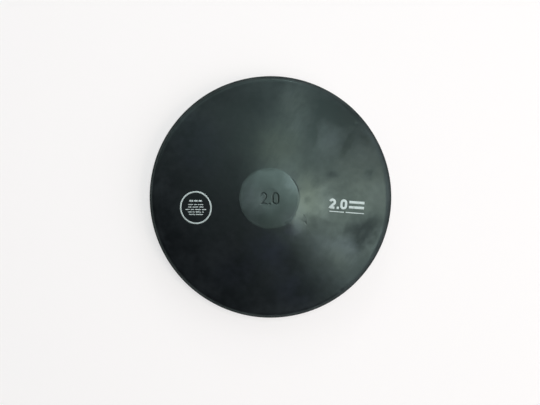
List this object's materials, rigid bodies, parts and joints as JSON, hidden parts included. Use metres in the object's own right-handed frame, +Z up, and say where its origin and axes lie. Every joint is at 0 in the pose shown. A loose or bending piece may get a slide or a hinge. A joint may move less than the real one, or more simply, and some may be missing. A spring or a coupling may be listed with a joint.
{
  "type": "discus",
  "caption": "Double-cone throwing discus in black rubber, with flat hub plugs that close a body moulded round a perforated steel plate.",
  "frame": {"origin": "centre of the lower hub's flat face, which the discus lies on", "axes": "+Z up along the axis of the discus, +X and +Y in the plane that it lies on"},
  "size_m": [0.22, 0.22, 0.045],
  "materials": {
    "body_rubber": "moulded, satin, with a grey bloom and scuffs",
    "hub_rubber": "moulded, dull satin",
    "plate_steel": "hot rolled, sand blasted",
    "washer_steel": "bright zinc plated",
    "pad_print": "thin printed ink, off white and slightly worn"
  },
  "bodies": {
    "root": {"upper_rubber_half": "body_rubber", "lower_rubber_half": "body_rubber", "upper_hub_plug": "hub_rubber", "lower_hub_plug": "hub_rubber", "upper_trim_washer": "washer_steel", "lower_trim_washer": "washer_steel", "core_plate": "plate_steel"}
  },
  "joints": []
}
